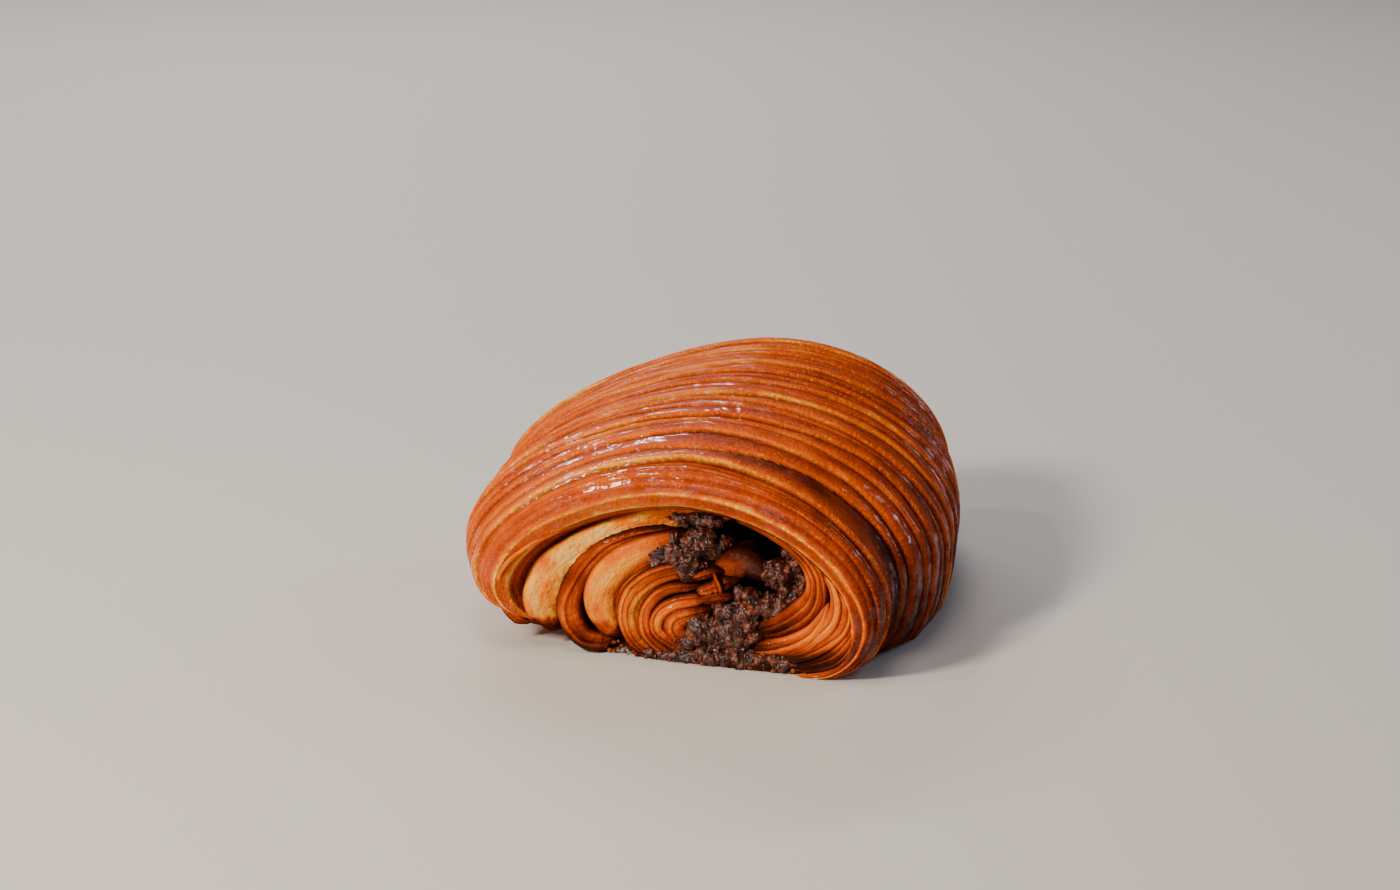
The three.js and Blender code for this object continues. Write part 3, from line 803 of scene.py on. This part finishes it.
def atBack(points):
    # the same spiral seen from its other end: wider on the left, narrower on the right, taller, bowed out
    placed = points.copy()
    x, y, z = points.T
    placed[:, 0] = x * np.where(x < 0, 1.12 * (1 - 0.17 * smoothStep(16, 2, z)), 0.9)
    bow = (placed[:, 0] / roll["fanWidth"]) ** 2
    placed[:, 1] = roll["length"] + roll["fan"] * placed[:, 0] + roll["backBow"] * bow - y
    placed[:, 0] += roll["backDrift"]
    placed[:, 2] = z * 1.09
    return placed


frontCoil = makeCoil(atFront, "front", 100)
backCoil = makeCoil(atBack, "back", 900)
print("coils", len(frontCoil) + len(backCoil), "wraps")

# melted chocolate: two batons run through the roll, and have melted and crumbled at both of its ends
chocolate = {
    "voxelMm": 0.32,            # the lumps melt into one skin at this size
    "crumple": 0.42,
    "lumpMm": (0.5, 1.4),
    "frontShare": 0.7,          # how many of the lumps below each end gets
    "backShare": 0.4,
    "barInset": 3.2,
    "barRows": 46,
    "barColumns": 28,
    # masses at the front end: x, z, depth, radii across, up and deep, number of lumps
    "upper": [(-1, 21.2, 1.4, 5.2, 3.8, 2.2, 200), (2.8, 24.6, 2.4, 3, 2, 1.8, 60),
              (-4.6, 20.4, 1, 2, 2.6, 1.4, 50), (1.8, 28.4, 3.6, 5.4, 1.2, 1.4, 80),
              (0.4, 18, 0.6, 2.6, 1.3, 1, 34)],
    "lower": [(0.6, 5, 0.4, 4, 2.5, 1.8, 110), (6, 6.4, 0.2, 5, 3.6, 2, 220),
              (11.5, 6.2, 0.6, 4.2, 3.8, 2, 170), (11, 10.4, 1, 4.2, 2.6, 2, 130),
              (16.8, 12.6, 1.4, 5, 2.6, 1.8, 150), (20.8, 15.4, 2.4, 2.4, 1.6, 1.4, 44),
              (13, 14.8, 1.2, 2.6, 1.3, 1.2, 40), (8.4, 10.8, 0.2, 2.2, 1.2, 1, 34),
              (3.4, 8, -0.4, 2, 1.2, 1, 34), (18.9, 19.6, 2.4, 2.9, 2.4, 2, 110),
              (22.8, 19.8, 4, 1.5, 2.6, 1.6, 50), (23.4, 16.2, 3.8, 1.4, 2, 1.5, 36),
              (21, 23.6, 5, 1.4, 1.4, 1.4, 26), (-4, 1, -0.4, 4, 0.9, 1.1, 40),
              (6, 1.2, -0.6, 9, 1.0, 1.2, 130), (18, 1.8, -0.2, 7, 1.2, 1.3, 90)],
}


def lumpBall():
    # points and faces of the small round shape that every lump starts from
    ball = bmesh.new()
    bmesh.ops.create_icosphere(ball, subdivisions=2, radius=1)
    points = np.array([v.co[:] for v in ball.verts])
    faces = np.array([[v.index for v in f.verts] for f in ball.faces])
    ball.free()
    return points, faces


def makeBar(node):
    # the baton itself, rounded and a little crumpled, along the CAD baton's own box
    low, high = (np.array(corner) * 1000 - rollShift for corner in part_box(node))
    rows, columns = chocolate["barRows"], chocolate["barColumns"]
    turn = np.linspace(0, 2 * np.pi, columns, endpoint=False)[None]
    inset = chocolate["barInset"]
    y = np.linspace(low[1] + inset, high[1] - inset, rows)[:, None]
    edge = np.clip(np.minimum(y - y[0], y[-1] - y) / 2.5, 0, 1) ** 0.5
    middle, half = (low + high) / 2, (high - low) / 2
    swell = 0.93 + 0.05 * layeredNoise(y / 6, np.cos(turn) * 2, np.sin(turn) * 2, 811, 2)
    x = middle[0] + half[0] * np.sign(np.cos(turn)) * np.abs(np.cos(turn)) ** 0.5 * swell * (0.6 + 0.4 * edge)
    z = middle[2] + half[2] * np.sign(np.sin(turn)) * np.abs(np.sin(turn)) ** 0.5 * swell * (0.6 + 0.4 * edge)
    points = np.stack([x, y + 0 * turn, z], -1).reshape(-1, 3)
    faces = [list(f) for f in gridFaces(rows, columns)]
    faces.append(list(range(columns)))
    faces.append(list(range((rows - 1) * columns, rows * columns)))
    return points, faces


def makeChocolate(name, node, masses, seed):
    rng = np.random.default_rng(seed)
    allPoints, allFaces, count = [], [], 0
    ball, ballFaces = lumpBall()
    for end in (atFront, atBack):
        for x, z, y, wide, tall, deep, number in masses:
            number = int(number * (chocolate["frontShare"] if end is atFront else chocolate["backShare"]))
            spot = rng.normal(size=(number, 3))
            spot *= (rng.random((number, 1)) ** 0.4) / np.linalg.norm(spot, axis=1, keepdims=True)
            centres = np.array([x, y, z]) + spot * (wide, deep, tall)
            sizes = rng.uniform(*chocolate["lumpMm"], number)
            for centre, size in zip(centres, sizes):
                lump = ball * size * rng.uniform(0.7, 1.25, 3)
                lump = end(lump + centre)
                lump[:, 2] = np.maximum(lump[:, 2], 0.1)
                allPoints.append(lump)
                allFaces.extend((ballFaces + count).tolist())
                count += len(ball)
    piece = outwards(newMesh(name, np.vstack(allPoints), allFaces))
    melt = piece.modifiers.new("melt", "REMESH")
    melt.mode = "VOXEL"
    melt.voxel_size = chocolate["voxelMm"] * 0.001
    settled = bpy.data.meshes.new_from_object(piece.evaluated_get(bpy.context.evaluated_depsgraph_get()))
    piece.modifiers.remove(melt)
    withBar = bmesh.new()
    withBar.from_mesh(settled)
    bar = outwards(newMesh("bar", *makeBar(node)))
    withBar.from_mesh(bar.data)
    bpy.data.objects.remove(bar)
    withBar.to_mesh(settled)
    withBar.free()
    piece.data = settled
    settled.name = name
    # crumple the melted skin
    count = len(settled.vertices)
    where, normal = np.zeros(count * 3), np.zeros(count * 3)
    settled.vertices.foreach_get("co", where)
    settled.vertex_normals.foreach_get("vector", normal)
    where, normal = where.reshape(-1, 3), normal.reshape(-1, 3)
    mm = where * 1000 - rollShift
    lift = layeredNoise(mm[:, 0] / 1.3, mm[:, 1] / 1.3, mm[:, 2] / 1.3, seed, 3) * chocolate["crumple"]
    where = where + normal * (lift * 0.001)[:, None]
    where[:, 2] = np.maximum(where[:, 2], 0.0001)
    settled.vertices.foreach_set("co", where.ravel())
    # crumbs only cling near the two open ends
    backEnd = roll["length"] - 6 + roll["fan"] * mm[:, 0]
    ends = np.clip(np.maximum(5.5 - mm[:, 1], mm[:, 1] - backEnd) / 3, 0, 1)
    layer = settled.attributes.new("crumbly", "FLOAT", "POINT")
    layer.data.foreach_set("value", ends.astype(np.float32))
    settled.polygons.foreach_set("use_smooth", [True] * len(settled.polygons))
    settled.materials.clear()
    settled.materials.append(chocolateMaterial)
    settled.update()
    return piece


# Dark chocolate, melted in the oven and set again: glossy where it ran, dull and grainy where it broke,
# red-brown on its broken faces, and nearly black in the hollows of its bump, which is painted shade.
def meltedChocolate():
    material, tree, skin = newMaterial("dark chocolate, melted and crumbled")
    position = addNode(tree, "ShaderNodeTexCoord").outputs["Object"]
    cloud = addNode(tree, "ShaderNodeTexNoise", None,
                    {"Vector": position, "Scale": 1000 / 2.4, "Detail": 4.0, "Roughness": 0.62})
    grit = addNode(tree, "ShaderNodeTexVoronoi", {"feature": "F1"},
                   {"Vector": position, "Scale": 1000 / 0.9, "Randomness": 1.0})
    fine = addNode(tree, "ShaderNodeTexNoise", None,
                   {"Vector": position, "Scale": 1000 / 0.35, "Detail": 3.0, "Roughness": 0.6})
    # the tone follows the cloud that also shapes the bump, so its hollows go dark: painted shade
    tone = addNode(tree, "ShaderNodeMath", {"operation": "MULTIPLY_ADD"},
                   {0: grit.outputs["Distance"], 1: 0.35, 2: cloud.outputs["Fac"]})
    colour = addNode(tree, "ShaderNodeValToRGB", {"stops": chocolateRamp}, {0: tone.outputs[0]})
    tree.links.new(colour.outputs[0], skin.inputs["Base Color"])
    rough = addNode(tree, "ShaderNodeMapRange", None,
                    {"Value": cloud.outputs["Fac"], "From Min": 0.42, "From Max": 0.66, "To Min": 0.08,
                     "To Max": 0.36})
    tree.links.new(rough.outputs[0], skin.inputs["Roughness"])
    skin.inputs["IOR"].default_value = 1.5
    skin.inputs["Specular IOR Level"].default_value = 0.6
    pitted = addNode(tree, "ShaderNodeMath", {"operation": "MULTIPLY_ADD"},
                     {0: grit.outputs["Distance"], 1: -0.9, 2: cloud.outputs["Fac"]})
    grained = addNode(tree, "ShaderNodeMath", {"operation": "MULTIPLY_ADD"},
                      {0: fine.outputs["Fac"], 1: 0.5, 2: pitted.outputs[0]})
    bump = addNode(tree, "ShaderNodeBump", None,
                   {"Strength": 0.8, "Distance": 0.0005, "Height": grained.outputs[0]})
    tree.links.new(bump.outputs[0], skin.inputs["Normal"])
    return material


chocolateRamp = [(0.0, "#0a0302"), (0.42, "#1a0704"), (0.6, "#2f0f07"), (0.78, "#582210"), (1.0, "#9a4c20")]
chocolateMaterial = meltedChocolate()
upperChocolate = makeChocolate("upper_chocolate", "chocolate_baton_upper", chocolate["upper"], 21)
lowerChocolate = makeChocolate("lower_chocolate", "chocolate_baton_lower", chocolate["lower"], 22)
print("chocolate", len(upperChocolate.data.polygons), len(lowerChocolate.data.polygons), "faces")

# crumbs, scattered by Geometry Nodes over the melted chocolate and along the coil's foot
crumbs = {
    "chocolate": {"perSquareCm": 45, "sizeMm": 0.7, "spread": 0.6, "seed": 3},
    "dough": {"perSquareCm": 170, "sizeMm": 0.8, "spread": 0.6, "seed": 8},
    # foot line of the coil, x, y, z, where toasted crumbs cling
    "footLine": [(-21, 0, 1.2), (-18, -0.2, 1), (-14, 0.4, 1.1), (-9, -0.5, 0.8), (-3, -1.1, 0.6),
                 (4, -1.4, 0.6), (12, -1.3, 0.6), (20, -1.1, 0.7), (27, -0.9, 0.8), (30, -1, 0.7)],
}


def scatterTree(name):
    # small rough lumps over a mesh, as many as its "crumbly" attribute says
    tree = bpy.data.node_groups.new(name, "GeometryNodeTree")
    tree.interface.new_socket("Geometry", in_out="INPUT", socket_type="NodeSocketGeometry")
    tree.interface.new_socket("Geometry", in_out="OUTPUT", socket_type="NodeSocketGeometry")
    for label, kind in (("Per square metre", "NodeSocketFloat"), ("Size", "NodeSocketFloat"),
                        ("Spread", "NodeSocketFloat"), ("Seed", "NodeSocketInt"),
                        ("Material", "NodeSocketMaterial")):
        tree.interface.new_socket(label, in_out="INPUT", socket_type=kind)
    given = addNode(tree, "NodeGroupInput").outputs
    amount = addNode(tree, "GeometryNodeInputNamedAttribute", {"data_type": "FLOAT"}, {"Name": "crumbly"})
    density = addNode(tree, "ShaderNodeMath", {"operation": "MULTIPLY"},
                      {0: amount.outputs["Attribute"], 1: given["Per square metre"]})
    points = addNode(tree, "GeometryNodeDistributePointsOnFaces", {"distribute_method": "RANDOM"},
                     {"Mesh": given["Geometry"], "Density": density.outputs[0], "Seed": given["Seed"]})
    # a cube of three points each way, pushed out to a ball
    cube = addNode(tree, "GeometryNodeMeshCube", None,
                   {"Size": (1.0, 1.0, 1.0), "Vertices X": 3, "Vertices Y": 3, "Vertices Z": 3})
    place = addNode(tree, "GeometryNodeInputPosition")
    ball = addNode(tree, "ShaderNodeVectorMath", {"operation": "NORMALIZE"}, {0: place.outputs[0]})
    half = addNode(tree, "ShaderNodeVectorMath", {"operation": "SCALE"}, {0: ball.outputs[0], "Scale": 0.5})
    lump = addNode(tree, "GeometryNodeSetPosition", None,
                   {"Geometry": cube.outputs[0], "Position": half.outputs[0]})
    low = addNode(tree, "ShaderNodeMath", {"operation": "SUBTRACT"}, {0: 1.0, 1: given["Spread"]})
    high = addNode(tree, "ShaderNodeMath", {"operation": "ADD"}, {0: 1.0, 1: given["Spread"]})
    share = addNode(tree, "FunctionNodeRandomValue", {"data_type": "FLOAT"},
                    {"Min": low.outputs[0], "Max": high.outputs[0], "Seed": given["Seed"]})
    size = addNode(tree, "ShaderNodeMath", {"operation": "MULTIPLY"},
                   {0: share.outputs["Value"], 1: given["Size"]})
    turn = addNode(tree, "FunctionNodeRandomValue", {"data_type": "FLOAT_VECTOR"},
                   {"Min": (-3.1, -3.1, -3.1), "Max": (3.1, 3.1, 3.1), "Seed": given["Seed"]})
    laid = addNode(tree, "FunctionNodeRotateRotation", {"rotation_space": "LOCAL"},
                   {0: points.outputs["Rotation"], 1: turn.outputs["Value"]})
    placed = addNode(tree, "GeometryNodeInstanceOnPoints", None,
                     {"Points": points.outputs["Points"], "Instance": lump.outputs[0],
                      "Rotation": laid.outputs[0], "Scale": size.outputs[0]})
    real = addNode(tree, "GeometryNodeRealizeInstances", None, {"Geometry": placed.outputs[0]})
    where = addNode(tree, "GeometryNodeInputPosition")
    rough = addNode(tree, "ShaderNodeTexNoise", None,
                    {"Vector": where.outputs[0], "Scale": 1000 / 0.9, "Detail": 1.0})
    centred = addNode(tree, "ShaderNodeVectorMath", {"operation": "SUBTRACT"},
                      {0: rough.outputs["Color"], 1: (0.5, 0.5, 0.5)})
    shove = addNode(tree, "ShaderNodeVectorMath", {"operation": "SCALE"},
                    {0: centred.outputs[0], "Scale": 0.0008})
    crumpled = addNode(tree, "GeometryNodeSetPosition", None,
                       {"Geometry": real.outputs[0], "Offset": shove.outputs[0]})
    coloured = addNode(tree, "GeometryNodeSetMaterial", None,
                       {"Geometry": crumpled.outputs[0], "Material": given["Material"]})
    addNode(tree, "NodeGroupOutput", None, {0: coloured.outputs[0]})
    return tree


def scatterOver(name, bed, spec, material):
    # crumbs over a bed, as their own plain mesh
    tree = scatterTree(name)
    scatter = bed.modifiers.new(name, "NODES")
    scatter.node_group = tree
    values = {"Per square metre": spec["perSquareCm"] * 10000.0, "Size": spec["sizeMm"] * 0.001,
              "Spread": spec["spread"], "Seed": spec["seed"], "Material": material}
    for item in tree.interface.items_tree:
        if item.item_type == "SOCKET" and item.in_out == "INPUT" and item.name in values:
            scatter[item.identifier] = values[item.name]
    mesh = bpy.data.meshes.new_from_object(bed.evaluated_get(bpy.context.evaluated_depsgraph_get()))
    bed.modifiers.remove(scatter)
    mesh.name = name
    piece = bpy.data.objects.new(name, mesh)
    bpy.context.scene.collection.objects.link(piece)
    print(name, len(mesh.polygons), "faces")
    return piece


def makeFootBed(place):
    # a narrow band that follows the coil's foot; only its crumbs are kept
    line = throughPoints(crumbs["footLine"], 120)[0]
    down = np.stack([line[:, 0], line[:, 1] - 0.5, np.full(len(line), 0.35)], -1)
    up = np.stack([line[:, 0], line[:, 1] + 0.3, line[:, 2] + 1.4], -1)
    points = place(np.concatenate([down, up]))
    count = len(line)
    faces = [(i, i + 1, count + i + 1, count + i) for i in range(count - 1)]
    bed = newMesh("footBed", points, faces)
    layer = bed.data.attributes.new("crumbly", "FLOAT", "POINT")
    layer.data.foreach_set("value", np.concatenate([np.ones(count), np.full(count, 0.1)]).astype(np.float32))
    return bed


# Toasted crumbs: torn dry dough, browned all round, dull and rough.
def toastedCrumb():
    material, tree, skin = newMaterial("dough crumbs, dry and toasted")
    position = addNode(tree, "ShaderNodeTexCoord").outputs["Object"]
    shade = addNode(tree, "ShaderNodeTexNoise", None,
                    {"Vector": position, "Scale": 1000 / 1.6, "Detail": 2.0, "Roughness": 0.6})
    colour = addNode(tree, "ShaderNodeValToRGB", {"stops": crumbRamp}, {0: shade.outputs["Fac"]})
    tree.links.new(colour.outputs[0], skin.inputs["Base Color"])
    skin.inputs["Roughness"].default_value = 0.55
    skin.inputs["Specular IOR Level"].default_value = 0.3
    grain = addNode(tree, "ShaderNodeTexNoise", None,
                    {"Vector": position, "Scale": 1000 / 0.3, "Detail": 3.0, "Roughness": 0.6})
    bump = addNode(tree, "ShaderNodeBump", None,
                   {"Strength": 0.6, "Distance": 0.0002, "Height": grain.outputs["Fac"]})
    tree.links.new(bump.outputs[0], skin.inputs["Normal"])
    return material


crumbRamp = [(0.0, "#2c0f05"), (0.4, "#521d07"), (0.54, "#843608"), (0.68, "#b8600f"), (1.0, "#dc9230")]
crumbMaterial = toastedCrumb()
chocolateCrumbs, doughCrumbs = [], []
for where, melted in (("upper", upperChocolate), ("lower", lowerChocolate)):
    name = f"chocolate_crumbs_{where}"
    chocolateCrumbs.append(scatterOver(name, melted, crumbs["chocolate"], chocolateMaterial))
for ending, place in (("front", atFront), ("back", atBack)):
    footBed = makeFootBed(place)
    doughCrumbs.append(scatterOver(f"foot_crumbs_{ending}", footBed, crumbs["dough"], crumbMaterial))
    bpy.data.objects.remove(footBed)

# every piece rides on the one body, and takes over from the CAD part that it stands for
for piece, node in ((upperChocolate, "chocolate_baton_upper"), (lowerChocolate, "chocolate_baton_lower")):
    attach(piece, "root")
    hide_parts(node)
for piece in chocolateCrumbs:
    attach(piece, "root")
for piece in doughCrumbs:
    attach(piece, "root")
for piece in [crustPiece] + frontCoil + backCoil:
    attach(piece, "root")
    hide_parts("pastry")
print("pieces ride on the frame")

# the camera's aim and distance in the roll's millimetres, angles in degrees
view = {"azimuth": 16.5, "elevation": 16.9, "distance": 740, "target": (-6.2, 32.5, 34.8),
        "focal": 3600, "frameWidth": 1400, "sensorMm": 36}


def makeCamera():
    azimuth, elevation = math.radians(view["azimuth"]), math.radians(view["elevation"])
    back = np.array([math.sin(azimuth) * math.cos(elevation), -math.cos(azimuth) * math.cos(elevation),
                     math.sin(elevation)])
    target = np.array(view["target"]) + rollShift
    camera = bpy.data.objects.new("camera", bpy.data.cameras.new("camera"))
    bpy.context.scene.collection.objects.link(camera)
    camera.location = (target + back * view["distance"]) * 0.001
    camera.rotation_euler = (math.pi / 2 - elevation, 0, azimuth)
    camera.data.sensor_width = view["sensorMm"]
    camera.data.lens = view["focal"] / view["frameWidth"] * view["sensorMm"]
    camera.data.clip_start = 0.01
    bpy.context.scene.camera = camera


def makeFloor():
    mesh = bpy.data.meshes.new("floor")
    mesh.from_pydata([(-3, -3, 0), (3, -3, 0), (3, 3, 0), (-3, 3, 0)], [], [(0, 1, 2, 3)])
    floor = bpy.data.objects.new("floor", mesh)
    bpy.context.scene.collection.objects.link(floor)
    material, _, skin = newMaterial("matt painted board")
    skin.inputs["Base Color"].default_value = hexColour("#cfccc6")
    skin.inputs["Roughness"].default_value = 0.7
    mesh.materials.append(material)


# soft boxes aimed at the pastry: azimuth, elevation, distance and size in metres, watts, colour
lights = {
    "key": (-33, 33, 0.9, (0.16, 0.16), 9.6, "#fff0dc"),
    "overhead": (-10, 84, 0.9, (0.4, 0.4), 2.3, "#fff4e6"),
    "front": (-14, 14, 0.9, (0.5, 0.2), 1, "#fbeeea"),
    "glint": (-57, 47, 0.9, (0.04, 0.04), 1.1, "#fff4e6"),
    "crown": (-149, 27, 0.9, (0.5, 0.032), 3.2, "#f8f6ff"),      # the long glint over the front bands
    "rightStrip": (130, 27, 0.8, (0.12, 0.5), 1.6, "#dfe2ff"),   # the streaks on the right side
}


def makeLight(name, azimuth, elevation, distance, size, watts, colour):
    light = bpy.data.lights.new(name, "AREA")
    light.shape = "RECTANGLE"
    light.size, light.size_y = size
    light.energy = watts
    light.color = hexColour(colour)[:3]
    lamp = bpy.data.objects.new(name, light)
    bpy.context.scene.collection.objects.link(lamp)
    a, e = math.radians(azimuth), math.radians(elevation)
    lamp.location = (distance * math.sin(a) * math.cos(e), -distance * math.cos(a) * math.cos(e),
                     0.02 + distance * math.sin(e))
    lamp.rotation_euler = (math.pi / 2 - e, 0, a)


makeCamera()
makeFloor()
for name, spec in lights.items():
    makeLight(name, *spec)
world = bpy.data.worlds.new("studio")
bpy.context.scene.world = world
world.use_nodes = True
world.node_tree.nodes["Background"].inputs[0].default_value = hexColour("#e4e6ea")
world.node_tree.nodes["Background"].inputs[1].default_value = 0.07
print("camera, floor and light")
